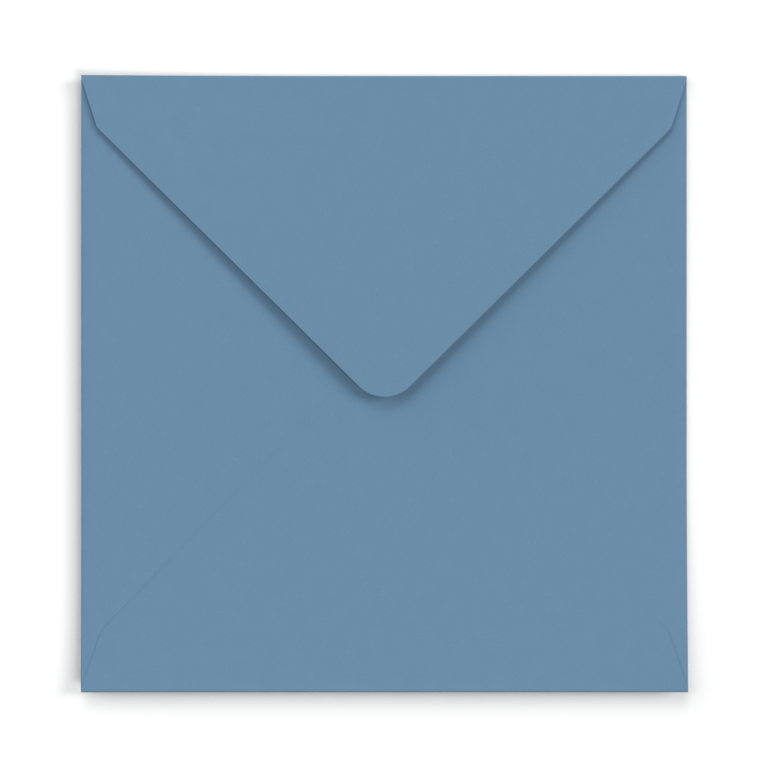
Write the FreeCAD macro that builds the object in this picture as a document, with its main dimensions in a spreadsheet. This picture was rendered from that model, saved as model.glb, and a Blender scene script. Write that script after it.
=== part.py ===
# Square greeting-card envelope: one die-cut sheet of dyed paper, creased along four lines and folded.
# It lies on its address panel with the flap side up, and its pointed top flap springs up a little.
# Lengths are in millimetres and angles in degrees.
# Origin: middle of the underside of the address panel. X runs along the top flap's crease, Y points
# up the envelope towards that crease, and Z points out of the flap side.
# Each flap is drawn in its own crease frame: the envelope's edge is at 0, local x runs from there
# towards the middle of the envelope, local y runs along the crease, and z points up.
import FreeCAD, Part
import math
import os
import Sketcher

# Driving dimensions: the name of the cell, its value, and what it measures.
SIZES = (
    ("envelope_width", 155.0, "outside width, from fold to fold"),
    ("envelope_height", 157.6, "outside height, from bottom fold to top fold"),
    ("paper_thickness", 0.17, "thickness of the sheet"),
    ("pocket_gap", 0.55, "air between the address panel and a side flap at its fold"),
    ("seam_bite", 0.03, "how far the glued bottom flap is pressed into the side flaps"),
    ("flap_clearance", 0.2, "air between the bottom flap's level and the top flap at its fold"),
    ("corner_relief", 0.25, "length of each side fold left out beside a corner of the panel"),
    ("flank_inset", 0.1, "side edge to the flanks of the top and bottom flaps"),
    ("flank_drop", 1.0, "top or bottom edge to where the flanks of those flaps turn in"),
    ("front_open_angle", 0.3, "how far the side and bottom flaps spring up from the panel"),
    ("top_open_angle", 3.1, "how far the top flap springs up at its crease"),
    ("top_bow_radius", 2300.0, "radius of the top flap's bow"),
    ("bottom_flap_depth", 86.2, "bottom fold to the bottom flap's tip"),
    ("closure_lap", 10.8, "how far the top flap's tip laps over the bottom flap's tip"),
    ("side_tip_gap", 8.0, "distance between the tips of the two side flaps"),
    ("top_shoulder_inset", 4.15, "side edge to the top flap's shoulder"),
    ("top_shoulder_drop", 13.5, "top edge to the top flap's shoulder"),
    ("bottom_shoulder_inset", 5.2, "side edge to the bottom flap's shoulder"),
    ("bottom_shoulder_drop", 15.75, "bottom edge to the bottom flap's shoulder"),
    ("side_shoulder_inset", 4.9, "top or bottom edge to a side flap's shoulder"),
    ("side_shoulder_drop", 15.2, "side edge to a side flap's shoulder"),
    ("shoulder_radius", 2.5, "rounding of every shoulder"),
    ("top_tip_radius", 9.2, "rounding of the top flap's tip"),
    ("bottom_tip_radius", 9.2, "rounding of the bottom flap's tip"),
    ("side_tip_radius", 25.0, "rounding of the side flaps' tips"),
    ("trim_margin", 5.0, "how far an uncut strip runs past the flap that is cut from it"),
)

# Sizes that follow from the driving ones, as expressions on the sheet's cells.
PAPER = "Sizes.paper_thickness"
SIDE_GAP = "Sizes.pocket_gap"
BOTTOM_GAP = f"(Sizes.pocket_gap + {PAPER} - Sizes.seam_bite)"
TOP_GAP = f"(Sizes.pocket_gap + 2 * {PAPER} + Sizes.flap_clearance)"
SIDE_RADIUS = f"({SIDE_GAP} / 2 + {PAPER})"
BOTTOM_RADIUS = f"({BOTTOM_GAP} / 2 + {PAPER})"
TOP_RADIUS = f"({TOP_GAP} / 2 + {PAPER})"
HALF_WIDTH = "(Sizes.envelope_width / 2)"
HALF_HEIGHT = "(Sizes.envelope_height / 2)"
SIDE_DEPTH = f"({HALF_WIDTH} - Sizes.side_tip_gap / 2)"
TOP_DEPTH = "(Sizes.envelope_height - Sizes.bottom_flap_depth + Sizes.closure_lap)"
LONG_CREASE = f"({HALF_WIDTH} - Sizes.flank_inset)"
SIDE_CREASE = f"({HALF_HEIGHT} - {TOP_RADIUS} - Sizes.corner_relief)"

# A sketch's names for the ends of a line or arc and the centre of an arc, its x axis and its origin.
START, END, CENTRE = 1, 2, 3
AXIS_X = -1
ORIGIN = (AXIS_X, START)

# Rotations of a sketch in a crease frame: standing across the crease, or lying flat.
UPRIGHT = FreeCAD.Rotation(FreeCAD.Vector(1, 0, 0), 90)
FLAT = FreeCAD.Rotation()


class Flap:
    """One flap of the sheet: where its crease lies, and the expressions of its sizes."""

    def __init__(self, name, turn, base, fold_radius, flank, shoulder, depth, tip_radius, angle, bow=None):
        self.name = name
        self.turn = FreeCAD.Rotation(FreeCAD.Vector(0, 0, 1), turn)
        self.base_x, self.base_y = base
        self.fold_radius = fold_radius
        self.flank_drop, self.half_crease = flank
        self.shoulder_drop, self.shoulder_half_width = shoulder
        self.depth = depth
        self.tip_radius = tip_radius
        self.angle = angle
        self.bow = bow
        self.reach = f"({depth} + Sizes.trim_margin)"


def side_flap(name, turn, base_x):
    """A side flap, whose lower edge is glued under the bottom flap."""
    flank = (SIDE_RADIUS, SIDE_CREASE)
    shoulder = ("Sizes.side_shoulder_drop", f"({HALF_HEIGHT} - Sizes.side_shoulder_inset)")
    return Flap(name, turn, (base_x, "0"), SIDE_RADIUS, flank, shoulder,
                SIDE_DEPTH, "Sizes.side_tip_radius", "Sizes.front_open_angle")


def bottom_flap():
    """The bottom flap, which is folded over the side flaps."""
    flank = ("Sizes.flank_drop", LONG_CREASE)
    shoulder = ("Sizes.bottom_shoulder_drop", f"({HALF_WIDTH} - Sizes.bottom_shoulder_inset)")
    return Flap("bottom_flap", 90, ("0", f"-{HALF_HEIGHT}"), BOTTOM_RADIUS, flank, shoulder,
                "Sizes.bottom_flap_depth", "Sizes.bottom_tip_radius", "Sizes.front_open_angle")


def top_flap():
    """The top flap, which closes the envelope and bows as it springs up."""
    flank = ("Sizes.flank_drop", LONG_CREASE)
    shoulder = ("Sizes.top_shoulder_drop", f"({HALF_WIDTH} - Sizes.top_shoulder_inset)")
    return Flap("top_flap", 270, ("0", HALF_HEIGHT), TOP_RADIUS, flank, shoulder,
                TOP_DEPTH, "Sizes.top_tip_radius", "Sizes.top_open_angle", "Sizes.top_bow_radius")


def make_sizes(doc):
    """Makes the spreadsheet, with one named cell for each driving dimension."""
    sheet = doc.addObject("Spreadsheet::Sheet", "Sizes")
    for row, (alias, value, meaning) in enumerate(SIZES, start=1):
        sheet.set(f"A{row}", alias)
        sheet.set(f"B{row}", str(value))
        sheet.set(f"C{row}", meaning)
        sheet.setAlias(f"B{row}", alias)
    doc.recompute()


def point(x, y):
    """A point of a sketch."""
    return FreeCAD.Vector(x, y, 0)


def polar(centre, radius, angle):
    """The point at a distance and an angle in radians from a centre."""
    return centre + point(radius * math.cos(angle), radius * math.sin(angle))


def add_line(sketch, start, end, construction=False):
    """Adds a straight line and returns its number."""
    return sketch.addGeometry(Part.LineSegment(start, end), construction)


def add_arc(sketch, centre, radius, start_angle, end_angle):
    """Adds an arc that runs anticlockwise between two angles in radians, and returns its number."""
    circle = Part.Circle(centre, FreeCAD.Vector(0, 0, 1), radius)
    return sketch.addGeometry(Part.ArcOfCircle(circle, start_angle, end_angle), False)


def join(sketch, kind, *ends):
    """Adds a constraint without a size to the geometry and ends given."""
    sketch.addConstraint(Sketcher.Constraint(kind, *ends))


def drive(sketch, name, expression, kind, *ends):
    """Adds a named dimension whose value is an expression on the sheet's cells."""
    value = sketch.evalExpression(expression)
    if kind == "Angle":
        value = math.radians(value)
    index = sketch.addConstraint(Sketcher.Constraint(kind, *ends, value))
    sketch.renameConstraint(index, name)
    sketch.setExpression(f"Constraints.{name}", expression)


def new_sketch(doc, flap, role, tilt):
    """Makes an empty sketch in a flap's crease frame."""
    sketch = doc.addObject("Sketcher::SketchObject", f"{flap.name}_{role}")
    sketch.Placement = FreeCAD.Placement(FreeCAD.Vector(0, 0, 0), flap.turn * tilt)
    sketch.setExpression("Placement.Base.x", flap.base_x)
    sketch.setExpression("Placement.Base.y", flap.base_y)
    return sketch


def draw_section(doc, flap):
    """Draws the sheet's section across a crease: the half-round fold, then the leg over the panel."""
    sketch = new_sketch(doc, flap, "section", UPRIGHT)
    outer = sketch.evalExpression(flap.fold_radius)
    thickness = sketch.evalExpression(PAPER)
    reach = sketch.evalExpression(flap.reach)
    angle = math.radians(sketch.evalExpression(flap.angle))
    normal = math.pi / 2 + angle
    panel_side = 1.5 * math.pi
    centre = point(outer, outer)
    inner_corner = polar(centre, outer - thickness, normal)
    outer_corner = polar(centre, outer, normal)

    panel_end = add_line(sketch, point(outer, 0), point(outer, thickness))
    inside = add_arc(sketch, centre, outer - thickness, normal, panel_side)
    outside = add_arc(sketch, centre, outer, normal, panel_side)
    spoke = add_line(sketch, centre, outer_corner, construction=True)
    if flap.bow:
        bow = sketch.evalExpression(flap.bow)
        bow_centre = polar(outer_corner, -bow, normal)
        far_angle = math.acos((reach - bow_centre.x) / bow)
        inner_far = polar(bow_centre, bow - thickness, far_angle)
        outer_far = polar(bow_centre, bow, far_angle)
        leg_inside = add_arc(sketch, bow_centre, bow - thickness, far_angle, normal)
        leg_outside = add_arc(sketch, bow_centre, bow, far_angle, normal)
        near, far = END, START
    else:
        leg_length = (reach - outer_corner.x) / math.cos(angle)
        inner_far = polar(inner_corner, leg_length, angle)
        outer_far = polar(outer_corner, leg_length, angle)
        leg_inside = add_line(sketch, inner_corner, inner_far)
        leg_outside = add_line(sketch, outer_corner, outer_far)
        near, far = START, END
    far_end = add_line(sketch, inner_far, outer_far)

    join(sketch, "Vertical", panel_end)
    join(sketch, "PointOnObject", panel_end, START, AXIS_X)
    join(sketch, "Coincident", panel_end, START, outside, END)
    join(sketch, "Coincident", panel_end, END, inside, END)
    join(sketch, "Coincident", inside, CENTRE, outside, CENTRE)
    join(sketch, "Vertical", outside, CENTRE, outside, END)
    join(sketch, "Coincident", spoke, START, outside, CENTRE)
    join(sketch, "Coincident", spoke, END, outside, START)
    join(sketch, "Tangent", inside, START, leg_inside, near)
    join(sketch, "Tangent", outside, START, leg_outside, near)
    join(sketch, "Coincident", far_end, START, leg_inside, far)
    join(sketch, "Coincident", far_end, END, leg_outside, far)
    drive(sketch, "fold_setback", flap.fold_radius, "DistanceX", *ORIGIN, outside, CENTRE)
    drive(sketch, "fold_radius", flap.fold_radius, "Radius", outside)
    drive(sketch, "sheet_thickness", PAPER, "DistanceY", panel_end, START, panel_end, END)
    drive(sketch, "leg_normal", f"90 + {flap.angle}", "Angle", spoke)
    drive(sketch, "leg_reach", flap.reach, "DistanceX", *ORIGIN, far_end, END)
    if flap.bow:
        join(sketch, "Coincident", leg_inside, CENTRE, leg_outside, CENTRE)
        join(sketch, "PointOnObject", leg_outside, CENTRE, far_end)
        drive(sketch, "bow_radius", flap.bow, "Radius", leg_outside)
    else:
        join(sketch, "Parallel", leg_inside, leg_outside)
        join(sketch, "Perpendicular", far_end, leg_outside)
    return sketch


class OutlineSide:
    """One side of a flap's die-cut outline: flank, shoulder, long edge and half of the tip."""

    def __init__(self, sketch, places, slopes, shoulder_radius, sign):
        """Draws the side above the sketch's x axis where sign is 1, and its image below where it is -1."""
        outer_end, flank_end, shoulder_start, corner, shoulder_end, tip_start, shoulder_centre = (
            point(place.x, sign * place.y) for place in places
        )
        turns = sorted(sign * (math.pi / 2 - slope) for slope in slopes)
        self.flank = add_line(sketch, outer_end, flank_end)
        self.shoulder = add_line(sketch, flank_end, shoulder_start)
        self.bend = add_arc(sketch, shoulder_centre, shoulder_radius, *turns)
        self.edge = add_line(sketch, shoulder_end, tip_start)
        self.corner = sketch.addGeometry(Part.Point(corner), True)
        first, last = (START, END) if sign == 1 else (END, START)
        join(sketch, "Horizontal", self.flank)
        join(sketch, "Coincident", self.flank, END, self.shoulder, START)
        join(sketch, "Tangent", self.shoulder, END, self.bend, last)
        join(sketch, "Tangent", self.edge, START, self.bend, first)
        join(sketch, "PointOnObject", self.corner, START, self.shoulder)
        join(sketch, "PointOnObject", self.corner, START, self.edge)


def draw_outline(doc, flap):
    """Draws the die-cut outline of a flap: its flanks, two shoulders, two long edges and round tip."""
    sketch = new_sketch(doc, flap, "outline", FLAT)
    flank_drop = sketch.evalExpression(flap.flank_drop)
    half_crease = sketch.evalExpression(flap.half_crease)
    corner = point(sketch.evalExpression(flap.shoulder_drop), sketch.evalExpression(flap.shoulder_half_width))
    tip_radius = sketch.evalExpression(flap.tip_radius)
    tip_centre = point(sketch.evalExpression(flap.depth) - tip_radius, 0)
    shoulder_radius = sketch.evalExpression("Sizes.shoulder_radius")
    outer_end = point(-sketch.evalExpression("Sizes.trim_margin"), half_crease)
    flank_end = point(flank_drop, half_crease)

    # Both edges fall towards the x axis: the short one to the shoulder, the long one on to the tip.
    short_slope = math.atan2(half_crease - corner.y, corner.x - flank_drop)
    to_tip = tip_centre - corner
    long_slope = math.atan2(-to_tip.y, to_tip.x) - math.asin(tip_radius / to_tip.Length)
    tangent_length = shoulder_radius * math.tan((long_slope - short_slope) / 2)
    shoulder_start = polar(corner, -tangent_length, -short_slope)
    shoulder_end = polar(corner, tangent_length, -long_slope)
    shoulder_centre = polar(shoulder_start, -shoulder_radius, math.pi / 2 - short_slope)
    tip_turn = math.pi / 2 - long_slope
    tip_start = polar(tip_centre, tip_radius, tip_turn)
    places = (outer_end, flank_end, shoulder_start, corner, shoulder_end, tip_start, shoulder_centre)
    slopes = (short_slope, long_slope)
    upper = OutlineSide(sketch, places, slopes, shoulder_radius, 1)
    lower = OutlineSide(sketch, places, slopes, shoulder_radius, -1)
    tip = add_arc(sketch, tip_centre, tip_radius, -tip_turn, tip_turn)
    base = add_line(sketch, point(outer_end.x, -outer_end.y), outer_end)

    join(sketch, "Vertical", base)
    join(sketch, "Coincident", base, START, lower.flank, START)
    join(sketch, "Coincident", base, END, upper.flank, START)
    join(sketch, "Tangent", lower.edge, END, tip, START)
    join(sketch, "Tangent", upper.edge, END, tip, END)
    join(sketch, "PointOnObject", tip, CENTRE, AXIS_X)
    join(sketch, "Equal", upper.bend, lower.bend)
    join(sketch, "Symmetric", upper.flank, END, lower.flank, END, AXIS_X)
    join(sketch, "Symmetric", upper.corner, START, lower.corner, START, AXIS_X)
    drive(sketch, "outer_margin", "Sizes.trim_margin", "DistanceX", base, END, *ORIGIN)
    drive(sketch, "flank_drop", flap.flank_drop, "DistanceX", *ORIGIN, upper.flank, END)
    drive(sketch, "half_crease", flap.half_crease, "DistanceY", *ORIGIN, upper.flank, END)
    drive(sketch, "shoulder_drop", flap.shoulder_drop, "DistanceX", *ORIGIN, upper.corner, START)
    drive(sketch, "shoulder_half_width", flap.shoulder_half_width, "DistanceY", *ORIGIN, upper.corner, START)
    drive(sketch, "shoulder_rounding", "Sizes.shoulder_radius", "Radius", upper.bend)
    drive(sketch, "tip_rounding", flap.tip_radius, "Radius", tip)
    drive(sketch, "tip_centre", f"{flap.depth} - {flap.tip_radius}", "DistanceX", *ORIGIN, tip, CENTRE)
    return sketch


def extrude(doc, name, sketch, forward, backward=None):
    """Extrudes a sketch forward and backward by expressions, or half each way where there is no second."""
    solid = doc.addObject("Part::Extrusion", name)
    solid.Base = sketch
    solid.DirMode = "Normal"
    solid.Solid = True
    solid.setExpression("LengthFwd", forward)
    if backward:
        solid.setExpression("LengthRev", backward)
    else:
        solid.Symmetric = True
    return solid


def make_flap(doc, flap):
    """Makes a flap with its fold: a folded strip as wide as the crease, cut to the flap's outline."""
    strip_width = f"2 * ({flap.half_crease} + Sizes.trim_margin)"
    strip = extrude(doc, f"{flap.name}_strip", draw_section(doc, flap), strip_width)
    die = extrude(doc, f"{flap.name}_die", draw_outline(doc, flap), flap.depth, "Sizes.trim_margin")
    cut = doc.addObject("Part::MultiCommon", flap.name)
    cut.Shapes = [strip, die]
    return cut


def make_address_panel(doc):
    """Makes the flat address panel between the four folds."""
    panel = doc.addObject("Part::Box", "address_panel")
    panel.setExpression("Length", f"Sizes.envelope_width - 2 * {SIDE_RADIUS}")
    panel.setExpression("Width", f"Sizes.envelope_height - {TOP_RADIUS} - {BOTTOM_RADIUS}")
    panel.setExpression("Height", PAPER)
    panel.setExpression("Placement.Base.x", f"{SIDE_RADIUS} - {HALF_WIDTH}")
    panel.setExpression("Placement.Base.y", f"{BOTTOM_RADIUS} - {HALF_HEIGHT}")
    return panel


def make_envelope(doc):
    """Joins the panel and its four flaps into the one folded sheet."""
    plans = (
        side_flap("left_flap", 0, f"-{HALF_WIDTH}"),
        side_flap("right_flap", 180, HALF_WIDTH),
        bottom_flap(),
        top_flap(),
    )
    envelope = doc.addObject("Part::MultiFuse", "envelope")
    envelope.Label = "envelope"
    envelope.Shapes = [make_address_panel(doc)] + [make_flap(doc, plan) for plan in plans]
    envelope.Refine = True
    return envelope


def check_document(doc, envelope):
    """Stops with a message where an object failed, a sketch is loose, or the sheet isn't one solid."""
    for item in doc.Objects:
        if {"Invalid", "Error"} & set(item.State):
            raise RuntimeError(f"{item.Name} failed: {item.State}")
        if item.TypeId == "Sketcher::SketchObject" and not item.FullyConstrained:
            raise RuntimeError(f"{item.Name} is not fully constrained")
    shape = envelope.Shape
    if shape.isNull() or not shape.isValid() or len(shape.Solids) != 1:
        raise RuntimeError("the envelope is not one valid solid")


def main():
    """Builds the envelope, checks it and writes it."""
    doc = FreeCAD.newDocument("Envelope")
    make_sizes(doc)
    envelope = make_envelope(doc)
    doc.recompute()
    check_document(doc, envelope)
    os.makedirs("parts", exist_ok=True)
    envelope.Shape.exportStep(f"parts/{envelope.Label}.step")
    box = envelope.Shape.BoundBox
    print(f"{envelope.Label}: {box.XLength:.2f} x {box.YLength:.2f} x {box.ZLength:.2f} mm, "
          f"volume {envelope.Shape.Volume:.1f} mm3, {len(envelope.Shape.Faces)} faces")


main()
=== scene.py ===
"""Looks of a square card envelope: one sheet of dyed paper, cut, creased and folded, on a white table.

Lengths are in metres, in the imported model's frame. The underside of the address panel lies at z = 0,
+X runs along the top flap's crease, and +Y points up the envelope towards that crease.
"""
import logging
import math
from collections.abc import Callable
from dataclasses import dataclass
from enum import Enum, IntEnum

import bmesh
import bpy
from mathutils import Matrix, Vector, noise


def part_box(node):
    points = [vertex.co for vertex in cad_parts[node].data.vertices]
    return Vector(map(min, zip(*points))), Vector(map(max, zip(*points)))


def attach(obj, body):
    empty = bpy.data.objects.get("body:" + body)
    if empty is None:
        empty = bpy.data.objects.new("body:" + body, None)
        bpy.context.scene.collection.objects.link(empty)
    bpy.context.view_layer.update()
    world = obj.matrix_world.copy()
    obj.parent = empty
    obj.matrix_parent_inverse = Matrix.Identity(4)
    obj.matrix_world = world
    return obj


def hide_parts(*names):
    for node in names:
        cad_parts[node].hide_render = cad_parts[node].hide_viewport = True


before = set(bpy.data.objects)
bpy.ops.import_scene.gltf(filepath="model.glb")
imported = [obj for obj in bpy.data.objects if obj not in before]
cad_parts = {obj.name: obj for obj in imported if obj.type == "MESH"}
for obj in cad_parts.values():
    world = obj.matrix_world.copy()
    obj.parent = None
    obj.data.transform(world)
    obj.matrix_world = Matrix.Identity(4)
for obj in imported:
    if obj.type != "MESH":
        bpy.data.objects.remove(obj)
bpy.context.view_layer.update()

logger = logging.getLogger("envelope")

MM = 0.001
CAD_NODE = "envelope"
BODY = "root"
BLANK_MAP = "blank"
FEWEST_ARC_STEPS = 3
MEAN_NOISE = 0.5

# How close two places count as one, and how close to a corner of the mesh a cut joins it.
SAME_PLACE = 1e-6
CUT_SNAP = 1e-7

Colour = tuple[float, float, float]
Setting = bool | int | float | str
Height = Callable[[Vector, float], float]

WHITE: Colour = (1.0, 1.0, 1.0)


class Crease(Enum):
    """One of the sheet's four creases; the value is its turn in degrees from the left one."""

    LEFT = 0
    BOTTOM = 90
    RIGHT = 180
    TOP = 270


def heading(slope: float) -> Vector:
    """The direction along an outline that falls towards the middle by an angle in radians."""
    return Vector((math.cos(slope), -math.sin(slope), 0))


def across(slope: float) -> Vector:
    """The outward direction across an outline that falls by an angle in radians."""
    return Vector((math.sin(slope), math.cos(slope), 0))


def spaced_arc(centre: Vector, radius: float, first: float, last: float, pitch: float) -> list[Vector]:
    """Evenly spaced points on an arc whose slope grows from first to last.

    Args:
        centre: The arc's centre.
        radius: The arc's radius.
        first: The outline's slope where the arc starts, in radians.
        last: The outline's slope where the arc ends.
        pitch: The longest step between two points.

    Returns:
        The points, both ends included.
    """
    steps = max(FEWEST_ARC_STEPS, math.ceil(radius * (last - first) / pitch))
    return [centre + radius * across(first + (last - first) * step / steps) for step in range(steps + 1)]


def spaced_line(start: Vector, end: Vector, pitch: float) -> list[Vector]:
    """Evenly spaced points on a straight line.

    Args:
        start: Where the line starts.
        end: Where it ends.
        pitch: The longest step between two points.

    Returns:
        The points after the start, the end included.
    """
    steps = max(1, math.ceil((end - start).length / pitch))
    return [start.lerp(end, step / steps) for step in range(1, steps + 1)]


@dataclass(frozen=True)
class FlapCut:
    """The die-cut outline of one flap, measured from the folded envelope's edges.

    Attributes:
        shoulder_inset: How far the shoulder stands in from the side of the envelope.
        shoulder_drop: How far the shoulder lies from the edge that carries the crease.
        depth: How far the tip lies from that edge.
        tip_radius: The radius of the rounded tip.
        flank_drop: How far the cut runs straight down from that edge before it turns to the shoulder.
        shoulder_radius: The radius of the rounded shoulder.
        arc_pitch: The longest step between the mesh's points on an arc.
    """

    shoulder_inset: float
    shoulder_drop: float
    depth: float
    tip_radius: float
    flank_drop: float = 0.0
    shoulder_radius: float = 2.5 * MM
    arc_pitch: float = 0.8 * MM

    def half_outline(self, start: Vector, half_side: float) -> list[Vector]:
        """Works out one half of the outline, from the crease to the tip.

        Args:
            start: Where the outline leaves the fold: distance from the envelope's edge, and half width.
            half_side: Half the length of the envelope's side that carries the crease.

        Returns:
            The outline's corners in order, in the crease's frame.
        """
        flank = [start]
        if self.flank_drop > start.x:
            flank.append(Vector((self.flank_drop, start.y, 0)))
        corner = Vector((self.shoulder_drop, half_side - self.shoulder_inset, 0))
        tip_centre = Vector((self.depth - self.tip_radius, 0, 0))
        to_shoulder = corner - flank[-1]
        to_tip = tip_centre - corner
        short_slope = math.atan2(-to_shoulder.y, to_shoulder.x)
        long_slope = math.atan2(-to_tip.y, to_tip.x) - math.asin(self.tip_radius / to_tip.length)
        tangent = self.shoulder_radius * math.tan((long_slope - short_slope) / 2)
        bend_centre = corner - tangent * heading(short_slope) - self.shoulder_radius * across(short_slope)
        return [
            *flank,
            *spaced_arc(bend_centre, self.shoulder_radius, short_slope, long_slope, self.arc_pitch),
            *spaced_arc(tip_centre, self.tip_radius, long_slope, math.pi / 2, self.arc_pitch),
        ]


@dataclass
class Flap:
    """A flap in its crease's own frame: x runs from the envelope's edge inwards, y along the crease.

    The sizes describe the middle of the sheet's thickness. A leg is the flap beyond its fold.

    Attributes:
        crease: The crease that the flap hangs on.
        cut: The flap's outline.
        to_edge: The distance from the envelope's middle to the edge that carries the crease.
        half_side: Half the length of that edge.
        half_crease: Half the length of the crease.
        fold_radius: The radius of the fold.
        thickness: The thickness of the sheet.
        leg_height: How far a place of the leg stands above a level one.
        open_angle: How far the fold stays short of a half turn, in radians.
        fold_steps: The number of the mesh's rows across the fold.
    """

    crease: Crease
    cut: FlapCut
    to_edge: float
    half_side: float
    half_crease: float
    fold_radius: float
    thickness: float
    leg_height: Height
    open_angle: float = 0.0
    fold_steps: int = 12

    def __post_init__(self) -> None:
        """Works out the sizes of the fold and the matrices of the crease's frame."""
        self.setback = self.fold_radius + self.thickness / 2
        self.fold_length = self.fold_radius * (math.pi - self.open_angle)
        self.leg_start = self.setback - self.fold_radius * math.sin(self.open_angle)
        self.leg_base = self.thickness / 2 + self.fold_radius * (1 + math.cos(self.open_angle))
        turn = Matrix.Rotation(math.radians(self.crease.value), 4, "Z")
        self.to_world = turn @ Matrix.Translation((-self.to_edge, 0, 0))
        self.to_local = self.to_world.inverted()

    def rows(self, pitch: float) -> list[tuple[float, float]]:
        """Lays out the rows of the flap's mesh, from its crease to its tip.

        Args:
            pitch: The longest step along the outline.

        Returns:
            For each row, its distance from the crease on the flat sheet, and its half width.
        """
        start = Vector((self.leg_start, self.half_crease, 0))
        outline = self.cut.half_outline(start, self.half_side)
        fold = [
            (self.fold_length * step / self.fold_steps, self.half_crease)
            for step in range(1, self.fold_steps + 1)
        ]
        leg = [
            (self.fold_length + place.x - self.leg_start, place.y)
            for near, far in zip(outline, outline[1:])
            for place in spaced_line(near, far, pitch)
        ]
        return fold + leg

    def beside_crease(self, local: Vector) -> bool:
        """Whether a place in the crease's frame lies between the crease's two ends."""
        return abs(local.y) < self.half_crease + SAME_PLACE

    def on_crease(self, edge: bmesh.types.BMEdge) -> bool:
        """Whether an edge of the flat panel lies on this flap's crease."""
        ends = [self.to_local @ vertex.co for vertex in edge.verts]
        return all(abs(end.x - self.setback) < SAME_PLACE and self.beside_crease(end) for end in ends)

    def holds(self, flat: Vector) -> bool:
        """Whether a point of the flat sheet lies beyond this flap's crease."""
        local = self.to_local @ flat
        return local.x < self.setback - SAME_PLACE and self.beside_crease(local)

    def folded(self, flat: Vector) -> Vector:
        """Finds where a point of the flat sheet lies once the flap is folded over.

        Args:
            flat: The point on the flat sheet.

        Returns:
            The same point of the folded sheet.
        """
        local = self.to_local @ flat
        run = self.setback - local.x
        if run < self.fold_length:
            angle = run / self.fold_radius
            local.x = self.setback - self.fold_radius * math.sin(angle)
            local.z = self.thickness / 2 + self.fold_radius * (1 - math.cos(angle))
            return self.to_world @ local
        past = run - self.fold_length
        place = self.to_world @ Vector((self.leg_start + past, local.y, self.leg_base))
        place.z += self.leg_height(place, past)
        return place


@dataclass(frozen=True)
class RimLift:
    """How far each side of the empty envelope stands off the table, while its middle rests on it.

    Attributes:
        left: The lift half-way up the left side.
        right: The lift half-way up the right side.
        bottom: The lift in the middle of the bottom edge.
        top: The lift in the middle of the top edge.
        corner_power: How little the lifts of two sides add up at the corner where they meet.
    """

    left: float
    right: float
    bottom: float
    top: float
    corner_power: int = 4

    def height(self, sideways: float, upwards: float) -> float:
        """How far the folded sheet stands off the table at a place.

        Args:
            sideways: The place between the middle, 0, and the left or right side, -1 or 1.
            upwards: The place between the middle, 0, and the bottom or top side, -1 or 1.

        Returns:
            The height.
        """
        beside = (self.left if sideways < 0 else self.right) * sideways ** 2
        along = (self.bottom if upwards < 0 else self.top) * upwards ** 2
        return (beside ** self.corner_power + along ** self.corner_power) ** (1 / self.corner_power)


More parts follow.
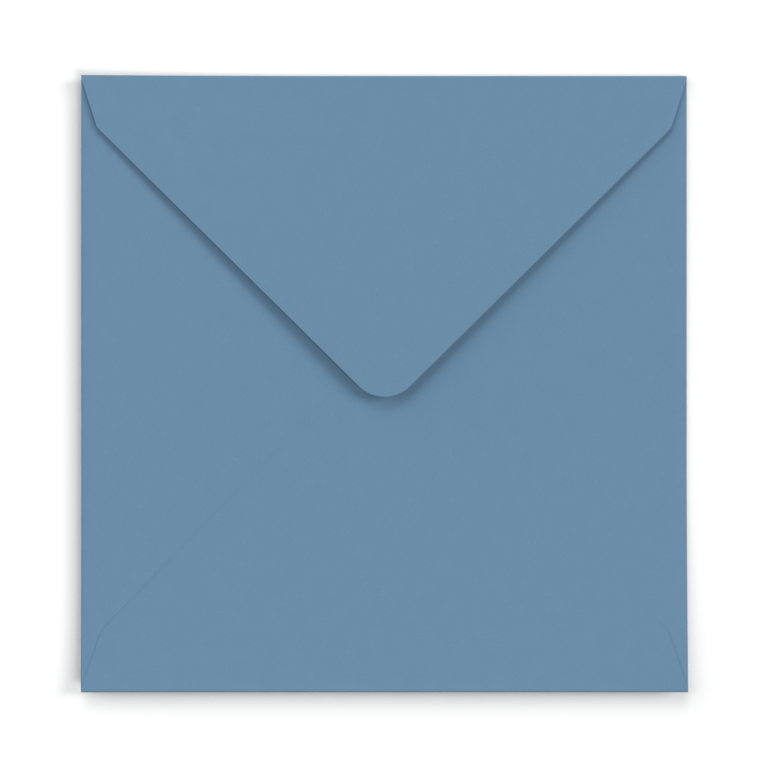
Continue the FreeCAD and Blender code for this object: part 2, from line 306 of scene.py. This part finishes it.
@dataclass
class EnvelopeSheet:
    """The envelope's one sheet: the address panel, its four flaps and the folds between them.

    Attributes:
        width: The folded envelope's width.
        height: The folded envelope's height.
        thickness: The thickness of the paper.
        pocket_gap: The gap that the side flaps' folds enclose.
        corner_press: How far the bottom flap's corners are pressed into the side flaps.
        middle_press: How much further the bottom flap is pressed into them in the middle.
        right_gape: How far the bottom flap's right edge stands off near its corner.
        gape_reach: The distance from the fold over which that edge comes off.
        gape_power: How close to the corner the gape keeps.
        flap_clearance: The room left above the bottom flap inside the top flap's fold.
        corner_relief: How far the side creases end short of the top crease.
        flank_inset: How far the ends of the top and bottom creases stand in from the sides.
        pillow_height: How far the empty pocket's front swells in the middle.
        pillow_power: How close to the bottom fold the swell holds up.
        rim_lift: How far the envelope's sides stand off the table.
        top_open_angle: The angle at which the top flap leaves its fold, in radians.
        top_bow_radius: The radius of the top flap's slight bow.
        wave_height: The height of the paper's waves.
        wave_length: The length of the paper's waves.
        sharp_angle: The angle past which an edge of the mesh is shaded sharp, in radians.
        mesh_pitch: The longest step of the mesh.
        side_cut: The outline of each side flap.
        bottom_cut: The outline of the bottom flap.
        top_cut: The outline of the top flap.
    """

    width: float
    height: float
    thickness: float = 0.17 * MM
    pocket_gap: float = 0.55 * MM
    corner_press: float = 0.06 * MM
    middle_press: float = 0.075 * MM
    right_gape: float = 0.28 * MM
    gape_reach: float = 4.0 * MM
    gape_power: int = 6
    flap_clearance: float = 0.2 * MM
    corner_relief: float = 0.25 * MM
    flank_inset: float = 0.1 * MM
    pillow_height: float = 0.45 * MM
    pillow_power: int = 4
    rim_lift: RimLift = RimLift(left=2.2 * MM, right=0.2 * MM, bottom=3.1 * MM, top=0.2 * MM)
    top_open_angle: float = math.radians(3.1)
    top_bow_radius: float = 2300.0 * MM
    wave_height: float = 0.05 * MM
    wave_length: float = 38.0 * MM
    sharp_angle: float = math.radians(40)
    mesh_pitch: float = 3.0 * MM
    side_cut: FlapCut = FlapCut(4.9 * MM, 15.2 * MM, 73.5 * MM, 25.0 * MM)
    bottom_cut: FlapCut = FlapCut(5.2 * MM, 15.75 * MM, 86.2 * MM, 9.2 * MM, flank_drop=1.0 * MM)
    top_cut: FlapCut = FlapCut(4.15 * MM, 13.5 * MM, 82.2 * MM, 9.2 * MM, flank_drop=1.0 * MM)

    def __post_init__(self) -> None:
        """Works out the folds, which grow with the layers of paper that they enclose."""
        side_gap = self.pocket_gap
        bottom_gap = side_gap + self.thickness - self.corner_press
        top_gap = side_gap + 2 * self.thickness + self.flap_clearance
        side_radius, bottom_radius, top_radius = (
            (gap + self.thickness) / 2 for gap in (side_gap, bottom_gap, top_gap)
        )
        self.half_width = self.width / 2
        self.half_height = self.height / 2
        self.panel_half_width = self.half_width - side_radius - self.thickness / 2
        self.panel_bottom = -self.half_height + bottom_radius + self.thickness / 2
        self.panel_top = self.half_height - top_radius - self.thickness / 2
        side_crease = self.panel_top - self.corner_relief
        sides = (self.half_width, self.half_height, side_crease, side_radius, self.thickness)
        ends = (self.half_height, self.half_width, self.half_width - self.flank_inset)
        self.flaps = (
            Flap(Crease.LEFT, self.side_cut, *sides, self.front_rise),
            Flap(Crease.RIGHT, self.side_cut, *sides, self.front_rise),
            Flap(Crease.BOTTOM, self.bottom_cut, *ends, bottom_radius, self.thickness, self.bottom_rise),
            Flap(
                Crease.TOP, self.top_cut, *ends, top_radius, self.thickness, self.top_rise,
                open_angle=self.top_open_angle,
            ),
        )

    def front_rise(self, place: Vector, past: float) -> float:
        """How far the side flaps stand above their folds: the empty pocket's low pillow.

        Args:
            place: A point of the flap.
            past: Its distance from the fold, which the pillow doesn't need.

        Returns:
            The height to add.
        """
        sideways = place.x / self.half_width
        downwards = (1 - place.y / self.half_height) / 2
        swell = (1 - sideways ** 2) * (1 - downwards ** self.pillow_power)
        wave = self.wave_height * noise.noise(Vector((place.x, place.y, 0)) / self.wave_length)
        return (self.pillow_height + wave) * swell

    def bottom_rise(self, place: Vector, past: float) -> float:
        """How far the bottom flap stands above its fold: pressed in the middle, gaping at the right.

        Args:
            place: A point of the flap.
            past: Its distance from the fold.

        Returns:
            The height to add.
        """
        sideways = place.x / self.half_width
        press = self.middle_press * (1 - sideways ** 2)
        freed = min(1.0, past / self.gape_reach)
        gape = self.right_gape * max(0.0, sideways) ** self.gape_power * freed
        return self.front_rise(place, past) - press + gape

    def top_rise(self, place: Vector, past: float) -> float:
        """How far the top flap stands above its fold: it springs up, bows back and waves a little.

        Args:
            place: A point of the flap.
            past: Its distance from the fold.

        Returns:
            The height to add.
        """
        share = past / self.top_cut.depth
        # The waves are full half-way down the flap, and die out at its fold and its tip.
        free_middle = 4 * share * (1 - share)
        spring = past * math.tan(self.top_open_angle) - past ** 2 / (2 * self.top_bow_radius)
        wave = noise.noise(Vector((place.x, place.y, self.wave_length)) / self.wave_length)
        return spring + self.wave_height * wave * free_middle

    def cut_blank(self) -> bmesh.types.BMesh:
        """Makes the flat sheet: the panel, with each flap drawn out of its crease row by row.

        Returns:
            The flat sheet, with its own flat coordinates as its UV map.
        """
        blank = bmesh.new()
        middle = (self.panel_top + self.panel_bottom) / 2
        half_panel = (self.panel_top - self.panel_bottom) / 2
        spread = Matrix.Diagonal((self.panel_half_width, half_panel, 1, 1))
        bmesh.ops.create_grid(
            blank,
            x_segments=math.ceil(2 * self.panel_half_width / self.mesh_pitch),
            y_segments=math.ceil(2 * half_panel / self.mesh_pitch),
            size=1,
            matrix=Matrix.Translation((0, middle, self.thickness / 2)) @ spread,
        )
        for flap in self.flaps:
            self.score_crease_ends(blank, flap)
        for flap in self.flaps:
            self.draw_out(blank, flap)
        flat_map = blank.loops.layers.uv.new(BLANK_MAP)
        for face in blank.faces:
            for corner in face.loops:
                corner[flat_map].uv = corner.vert.co.xy
        return blank

    def score_crease_ends(self, blank: bmesh.types.BMesh, flap: Flap) -> None:
        """Cuts the panel's grid in line with both ends of a crease.

        Args:
            blank: The flat sheet.
            flap: The flap whose crease it is.
        """
        along = flap.to_world.to_3x3() @ Vector((0, 1, 0))
        for end in (-flap.half_crease, flap.half_crease):
            bmesh.ops.bisect_plane(
                blank,
                geom=[*blank.verts, *blank.edges, *blank.faces],
                dist=CUT_SNAP,
                plane_co=flap.to_world @ Vector((0, end, 0)),
                plane_no=along,
            )

    def draw_out(self, blank: bmesh.types.BMesh, flap: Flap) -> None:
        """Extrudes a flap from its crease, widening or narrowing each row to the cut outline.

        Args:
            blank: The flat sheet.
            flap: The flap to add.
        """
        edges = [edge for edge in blank.edges if edge.is_boundary and flap.on_crease(edge)]
        corners = [vertex for edge in edges for vertex in edge.verts]
        run, half_width = 0.0, max((flap.to_local @ vertex.co).y for vertex in corners)
        for next_run, next_half_width in flap.rows(self.mesh_pitch):
            drawn = bmesh.ops.extrude_edge_only(blank, edges=edges)["geom"]
            edges = [item for item in drawn if isinstance(item, bmesh.types.BMEdge)]
            corners = [item for item in drawn if isinstance(item, bmesh.types.BMVert)]
            narrowing = (1, next_half_width / half_width, 1)
            bmesh.ops.translate(blank, vec=(run - next_run, 0, 0), space=flap.to_local, verts=corners)
            bmesh.ops.scale(blank, vec=narrowing, space=flap.to_local, verts=corners)
            run, half_width = next_run, next_half_width
        tip = flap.to_world @ Vector((flap.setback - run, 0, self.thickness / 2))
        bmesh.ops.pointmerge(blank, verts=corners, merge_co=tip)

    def fold(self, blank: bmesh.types.BMesh) -> None:
        """Folds every flap of the flat sheet over the panel, then lifts the rim."""
        for vertex in blank.verts:
            for flap in self.flaps:
                if flap.holds(vertex.co):
                    vertex.co = flap.folded(vertex.co)
                    break
            sideways, upwards = vertex.co.x / self.half_width, vertex.co.y / self.half_height
            vertex.co.z += self.rim_lift.height(sideways, upwards)

    def build(self, face_finish: bpy.types.Material, edge_finish: bpy.types.Material) -> bpy.types.Object:
        """Builds the folded sheet with its thickness and its two finishes.

        Args:
            face_finish: The material of both faces of the paper.
            edge_finish: The material of its cut edges, painted lighter than the faces: partly bare fibres,
                partly a painted highlight.

        Returns:
            The envelope, at the origin.
        """
        mesh = bpy.data.meshes.new("folded_sheet")
        blank = self.cut_blank()
        self.fold(blank)
        blank.to_mesh(mesh)
        blank.free()
        mesh.materials.append(face_finish)
        mesh.materials.append(edge_finish)
        sheet = bpy.data.objects.new("folded_sheet", mesh)
        bpy.context.scene.collection.objects.link(sheet)
        self.thicken(sheet)
        return sheet

    def thicken(self, sheet: bpy.types.Object) -> None:
        """Gives the sheet its thickness, half to each side, and smooths all but its cut edges.

        Args:
            sheet: The folded sheet, as a surface.
        """
        solidify = sheet.modifiers.new("thickness", "SOLIDIFY")
        solidify.thickness = self.thickness
        solidify.offset = 0
        solidify.use_even_offset = True
        solidify.use_quality_normals = True
        solidify.material_offset_rim = 1
        surface = sheet.data
        evaluated = sheet.evaluated_get(bpy.context.evaluated_depsgraph_get())
        sheet.data = bpy.data.meshes.new_from_object(evaluated)
        sheet.modifiers.clear()
        bpy.data.meshes.remove(surface)
        sheet.data.shade_smooth()
        sheet.data.set_sharp_from_angle(angle=self.sharp_angle)


class Signal:
    """The output of a shader node, with the operators that the shader maths is written in."""

    def __init__(self, graph: "Graph", socket: bpy.types.NodeSocket) -> None:
        """Keeps the socket, and the graph that its Math nodes are added to."""
        self.graph = graph
        self.socket = socket

    def _math(self, operation: str, *operands: "Signal | float") -> "Signal":
        """Adds a Math node for one operation."""
        return self.graph.read("ShaderNodeMath", {"operation": operation}, dict(enumerate(operands)))

    def __add__(self, other: "Signal | float") -> "Signal":
        """The sum of this and another value."""
        return self._math("ADD", self, other)

    __radd__ = __add__

    def __sub__(self, other: "Signal | float") -> "Signal":
        """This value less another."""
        return self._math("SUBTRACT", self, other)

    def __rsub__(self, other: "Signal | float") -> "Signal":
        """Another value less this one."""
        return self._math("SUBTRACT", other, self)

    def __mul__(self, other: "Signal | float") -> "Signal":
        """The product of this and another value."""
        return self._math("MULTIPLY", self, other)

    __rmul__ = __mul__

    def __abs__(self) -> "Signal":
        """This value without its sign."""
        return self._math("ABSOLUTE", self)

    def above(self, other: "Signal | float") -> "Signal":
        """The larger of this and another value."""
        return self._math("MAXIMUM", self, other)


Feed = Signal | float | tuple[float, ...]


class ColourMix(IntEnum):
    """The numbers of the sockets that a Mix node uses for colours."""

    FACTOR = 0
    RESULT = 2
    FIRST = 6
    SECOND = 7


class Graph:
    """The node tree of a material or of the world."""

    def __init__(self, tree: bpy.types.NodeTree) -> None:
        """Empties the tree and keeps it."""
        tree.nodes.clear()
        self.tree = tree

    def add(
        self,
        kind: str,
        settings: dict[str, Setting] | None = None,
        sockets: dict[str | int, Feed] | None = None,
    ) -> bpy.types.Node:
        """Adds a node.

        Args:
            kind: The node's type.
            settings: The node's own settings, which are made first.
            sockets: The values or links of its input sockets, by name or number.

        Returns:
            The node.
        """
        node = self.tree.nodes.new(kind)
        for name, value in (settings or {}).items():
            setattr(node, name, value)
        for name, feed in (sockets or {}).items():
            if isinstance(feed, Signal):
                self.tree.links.new(feed.socket, node.inputs[name])
            else:
                node.inputs[name].default_value = feed
        return node

    def read(
        self,
        kind: str,
        settings: dict[str, Setting] | None = None,
        sockets: dict[str | int, Feed] | None = None,
        output: str | int = 0,
    ) -> Signal:
        """Adds a node and gives one of its outputs.

        Args:
            kind: The node's type.
            settings: The node's own settings.
            sockets: The values or links of its input sockets.
            output: The name or number of the output.

        Returns:
            The output.
        """
        return Signal(self, self.add(kind, settings, sockets).outputs[output])

    def noise(self, place: Signal, size: float, detail: float = 2.0, distortion: float = 0.0) -> Signal:
        """Adds a flat noise pattern.

        Args:
            place: The coordinates, in metres.
            size: The size of its largest features, in metres.
            detail: How many finer layers it has.
            distortion: How far its features are bent.

        Returns:
            Its value, from 0 to 1 and about 0.5 on average.
        """
        sockets = {"Vector": place, "Scale": 1 / size, "Detail": detail, "Distortion": distortion}
        return self.read("ShaderNodeTexNoise", {"noise_dimensions": "2D"}, sockets)

    def rise(self, value: Signal, low: float, high: float) -> Signal:
        """Turns a value into a smooth mask.

        Args:
            value: The value.
            low: Where the mask is 0.
            high: Where the mask is 1.

        Returns:
            The mask.
        """
        sockets = {"Value": value, "From Min": low, "From Max": high}
        return self.read("ShaderNodeMapRange", {"interpolation_type": "SMOOTHSTEP"}, sockets)

    def blend(self, factor: Feed, first: Feed, second: Feed) -> Signal:
        """Mixes two colours.

        Args:
            factor: The share of the second colour.
            first: The colour at a factor of 0.
            second: The colour at a factor of 1.

        Returns:
            The mixed colour.
        """
        sockets = {ColourMix.FACTOR: factor, ColourMix.FIRST: first, ColourMix.SECOND: second}
        return self.read("ShaderNodeMix", {"data_type": "RGBA"}, sockets, ColourMix.RESULT)


def opaque(colour: Colour, gain: float = 1.0) -> tuple[float, ...]:
    """A colour's socket value, with each channel times a gain."""
    return (*(channel * gain for channel in colour), 1.0)


@dataclass(frozen=True)
class PaperFinish:
    """Uncoated paper, dyed right through: cloudy formation, fine grain and stray fibres.

    Attributes:
        name: The material's name.
        colour: The paper's mean colour.
        roughness: Its mean roughness.
        roughness_spread: How much the roughness follows the grain.
        specular: Its specular level.
        contrast: How far the dye's lightest and darkest places are from the mean.
        cloud_size: The size of the formation's clouds.
        cloud_share: The clouds' share of the dye's pattern; the grain has the rest.
        grain_size: The size of the grain.
        detail: How many finer layers the clouds and the grain have.
        fibre_size: The size of the fibres' curls.
        fibre_curl: How far the fibres bend.
        fibre_width: The width of a fibre, in levels of its noise pattern.
        fibre_ends: The levels of another pattern between which a fibre runs out.
        fibre_end_size: The size of that pattern against the curls.
        fibre_gain: How much lighter than the mean colour a bare fibre is.
        fibre_tint: How much of that shows.
        relief: The height of the grain.
        cloud_relief: The height of the clouds against the grain.
        fibre_relief: The height of the fibres against the grain.
    """

    name: str
    colour: Colour
    roughness: float = 0.88
    roughness_spread: float = 0.08
    specular: float = 0.2
    contrast: float = 0.05
    cloud_size: float = 4.5 * MM
    cloud_share: float = 0.45
    grain_size: float = 0.55 * MM
    detail: float = 3.0
    fibre_size: float = 1.3 * MM
    fibre_curl: float = 0.8
    fibre_width: float = 0.03
    fibre_ends: tuple[float, float] = (0.52, 0.60)
    fibre_end_size: float = 0.7
    fibre_gain: float = 1.6
    fibre_tint: float = 0.10
    relief: float = 0.02 * MM
    cloud_relief: float = 0.6
    fibre_relief: float = 0.35

    def fibres(self, graph: Graph, place: Signal) -> Signal:
        """Draws short curled fibres along the middle levels of a noise pattern.

        Args:
            graph: The material's graph.
            place: The sheet's flat coordinates.

        Returns:
            The mask of the fibres.
        """
        curls = graph.noise(place, self.fibre_size, detail=1.0, distortion=self.fibre_curl)
        lines = 1 - graph.rise(abs(curls - MEAN_NOISE), 0.0, self.fibre_width)
        patches = graph.noise(place, self.fibre_size * self.fibre_end_size, detail=0.0)
        return lines * graph.rise(patches, *self.fibre_ends)

    def material(self) -> bpy.types.Material:
        """Makes the material.

        Returns:
            The material, whose patterns follow the flat sheet.
        """
        material = bpy.data.materials.new(self.name)
        material.use_nodes = True
        graph = Graph(material.node_tree)
        place = graph.read("ShaderNodeUVMap", {"uv_map": BLANK_MAP})
        cloud = graph.noise(place, self.cloud_size, self.detail)
        grain = graph.noise(place, self.grain_size, self.detail)
        fibres = self.fibres(graph, place)
        dye = graph.blend(
            cloud * self.cloud_share + grain * (1 - self.cloud_share),
            opaque(self.colour, 1 - self.contrast),
            opaque(self.colour, 1 + self.contrast),
        )
        tinted = graph.blend(fibres * self.fibre_tint, dye, opaque(self.colour, self.fibre_gain))
        height = cloud * self.cloud_relief + grain + fibres * self.fibre_relief
        bump = graph.read("ShaderNodeBump", sockets={"Distance": self.relief, "Height": height})
        shader = graph.read("ShaderNodeBsdfPrincipled", sockets={
            "Base Color": tinted,
            "Roughness": self.roughness + self.roughness_spread * (grain - MEAN_NOISE),
            "Specular IOR Level": self.specular,
            "Normal": bump,
        })
        graph.add("ShaderNodeOutputMaterial", sockets={"Surface": shader})
        return material


@dataclass(frozen=True)
class Backdrop:
    """The white that the camera sees round the object, and what the same surface gives as light.

    Attributes:
        name: The name of the surface.
        seen: Its level to the camera, to gloss and to glass.
        lit: Its level to all other rays.
    """

    name: str
    seen: float
    lit: float

    def level(self, graph: Graph) -> Signal:
        """Gives one level to rays from the camera, gloss and glass, and another to all others.

        Args:
            graph: The graph of the floor or of the world.

        Returns:
            The level.
        """
        rays = [
            graph.read("ShaderNodeLightPath", output=kind)
            for kind in ("Is Camera Ray", "Is Glossy Ray", "Is Transmission Ray")
        ]
        straight = rays[0].above(rays[1]).above(rays[2])
        return self.lit + (self.seen - self.lit) * straight

    def floor_material(self) -> bpy.types.Material:
        """Makes the matte white of the table.

        Returns:
            The material.
        """
        material = bpy.data.materials.new(self.name)
        material.use_nodes = True
        graph = Graph(material.node_tree)
        level = self.level(graph)
        sockets = {"Red": level, "Green": level, "Blue": level}
        white = graph.read("ShaderNodeCombineColor", sockets=sockets)
        matte = graph.read("ShaderNodeBsdfDiffuse", sockets={"Color": white})
        graph.add("ShaderNodeOutputMaterial", sockets={"Surface": matte})
        return material

    def fill_world(self, world: bpy.types.World) -> None:
        """Makes the world a plain white that lights the object by its own share.

        Args:
            world: The scene's world.
        """
        world.use_nodes = True
        graph = Graph(world.node_tree)
        sockets = {"Color": opaque(WHITE), "Strength": self.level(graph)}
        background = graph.read("ShaderNodeBackground", sockets=sockets)
        graph.add("ShaderNodeOutputWorld", sockets={"Surface": background})


@dataclass(frozen=True)
class SoftLight:
    """A large soft light far away.

    Attributes:
        name: The light's name.
        azimuth: Where it stands, in degrees from +Y towards +X.
        elevation: How high it stands above the table, in degrees.
        spread: How wide it looks from the table, in degrees.
        share: What it adds to the light on a level surface, where all add up to about 1.
    """

    name: str
    azimuth: float
    elevation: float
    spread: float
    share: float

    def build(self) -> bpy.types.Object:
        """Makes the light.

        Returns:
            The light.
        """
        lamp = bpy.data.lights.new(self.name, "SUN")
        lamp.angle = math.radians(self.spread)
        lamp.energy = self.share * math.pi / math.sin(math.radians(self.elevation))
        light = bpy.data.objects.new(self.name, lamp)
        tilt = math.radians(90 - self.elevation)
        light.rotation_euler = (-tilt, 0, -math.radians(self.azimuth))
        bpy.context.scene.collection.objects.link(light)
        return light


@dataclass
class Studio:
    """The white table, the soft lights and the camera straight above the envelope.

    Attributes:
        floor_drop: How far the table lies below the envelope.
        floor_half_size: Half the table's width.
        frame_width: The width that the picture shows at the focus height.
        lens: The camera's focal length, in millimetres.
        sensor_width: The width of its sensor, in millimetres.
        focus_height: The height of the flaps, at which the frame is measured.
        camera_offset: Where the camera stands, along X and Y.
        table: The table's white.
        sky: The white beyond it.
        lights: The soft lights.
    """

    floor_drop: float = 0.02 * MM
    floor_half_size: float = 3.0
    frame_width: float = 197.08 * MM
    lens: float = 100.0
    sensor_width: float = 36.0
    focus_height: float = 0.5 * MM
    camera_offset: tuple[float, float] = (-0.13 * MM, -0.16 * MM)
    table: Backdrop = Backdrop("table_white", seen=1.03, lit=0.5)
    sky: Backdrop = Backdrop("sky", seen=1.0, lit=0.05)
    lights: tuple[SoftLight, ...] = (
        SoftLight("back_light", azimuth=357.5, elevation=38.5, spread=27.0, share=0.16),
        SoftLight("right_light", azimuth=76.5, elevation=33.5, spread=24.0, share=0.25),
        SoftLight("left_light", azimuth=302.0, elevation=34.5, spread=64.0, share=0.26),
        SoftLight("front_light", azimuth=134.0, elevation=50.5, spread=26.0, share=0.28),
    )

    def build_floor(self) -> bpy.types.Object:
        """Makes the table top.

        Returns:
            The floor, which isn't part of the object.
        """
        surface = bmesh.new()
        level = Matrix.Translation((0, 0, -self.floor_drop))
        bmesh.ops.create_grid(surface, x_segments=2, y_segments=2, size=self.floor_half_size, matrix=level)
        mesh = bpy.data.meshes.new("table")
        surface.to_mesh(mesh)
        surface.free()
        mesh.materials.append(self.table.floor_material())
        floor = bpy.data.objects.new("table", mesh)
        bpy.context.scene.collection.objects.link(floor)
        return floor

    def build_sky(self) -> bpy.types.World:
        """Makes the world.

        Returns:
            The world of the scene.
        """
        world = bpy.data.worlds.new("sky")
        self.sky.fill_world(world)
        bpy.context.scene.world = world
        return world

    def build_camera(self) -> bpy.types.Object:
        """Makes the camera, which looks straight down with +Y at the top of the picture.

        Returns:
            The scene's camera.
        """
        lens = bpy.data.cameras.new("camera")
        lens.lens = self.lens
        lens.sensor_width = self.sensor_width
        camera = bpy.data.objects.new("camera", lens)
        height = self.focus_height + self.frame_width * self.lens / self.sensor_width
        camera.location = (*self.camera_offset, height)
        bpy.context.scene.collection.objects.link(camera)
        bpy.context.scene.camera = camera
        return camera

    def build(self) -> None:
        """Builds the camera, the table, the sky and the lights."""
        for piece in (self.build_camera(), self.build_floor(), self.build_sky()):
            logger.info("%s: built", piece.name)
        for light in self.lights:
            light.build()
            logger.info("light %s: share %.2f", light.name, light.share)
        bpy.context.scene.view_settings.view_transform = "Standard"


def dress_envelope() -> bpy.types.Object:
    """Returns:
        The sheet.
    """
    low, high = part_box(CAD_NODE)
    face = PaperFinish("dyed_paper", colour=(0.1366, 0.2536, 0.3763))
    # The cut edges are painted lighter than the faces. This is partly the bare fibres and partly a painted
    # highlight where light catches the edge of the dyed-through paper.
    edge = PaperFinish("cut_edge_painted_lighter", colour=(0.17, 0.30, 0.43), roughness=0.95, contrast=0.12)
    sheet = EnvelopeSheet(width=high.x - low.x, height=high.y - low.y)
    envelope = sheet.build(face.material(), edge.material())
    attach(envelope, BODY)
    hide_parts(CAD_NODE)
    logger.info("%s: %d faces", envelope.name, len(envelope.data.polygons))
    return envelope


def main() -> None:
    """Builds the studio and the envelope, and reports each piece."""
    logging.basicConfig(level=logging.INFO, format="%(message)s")
    Studio().build()
    dress_envelope()


if __name__ == "__main__":
    main()
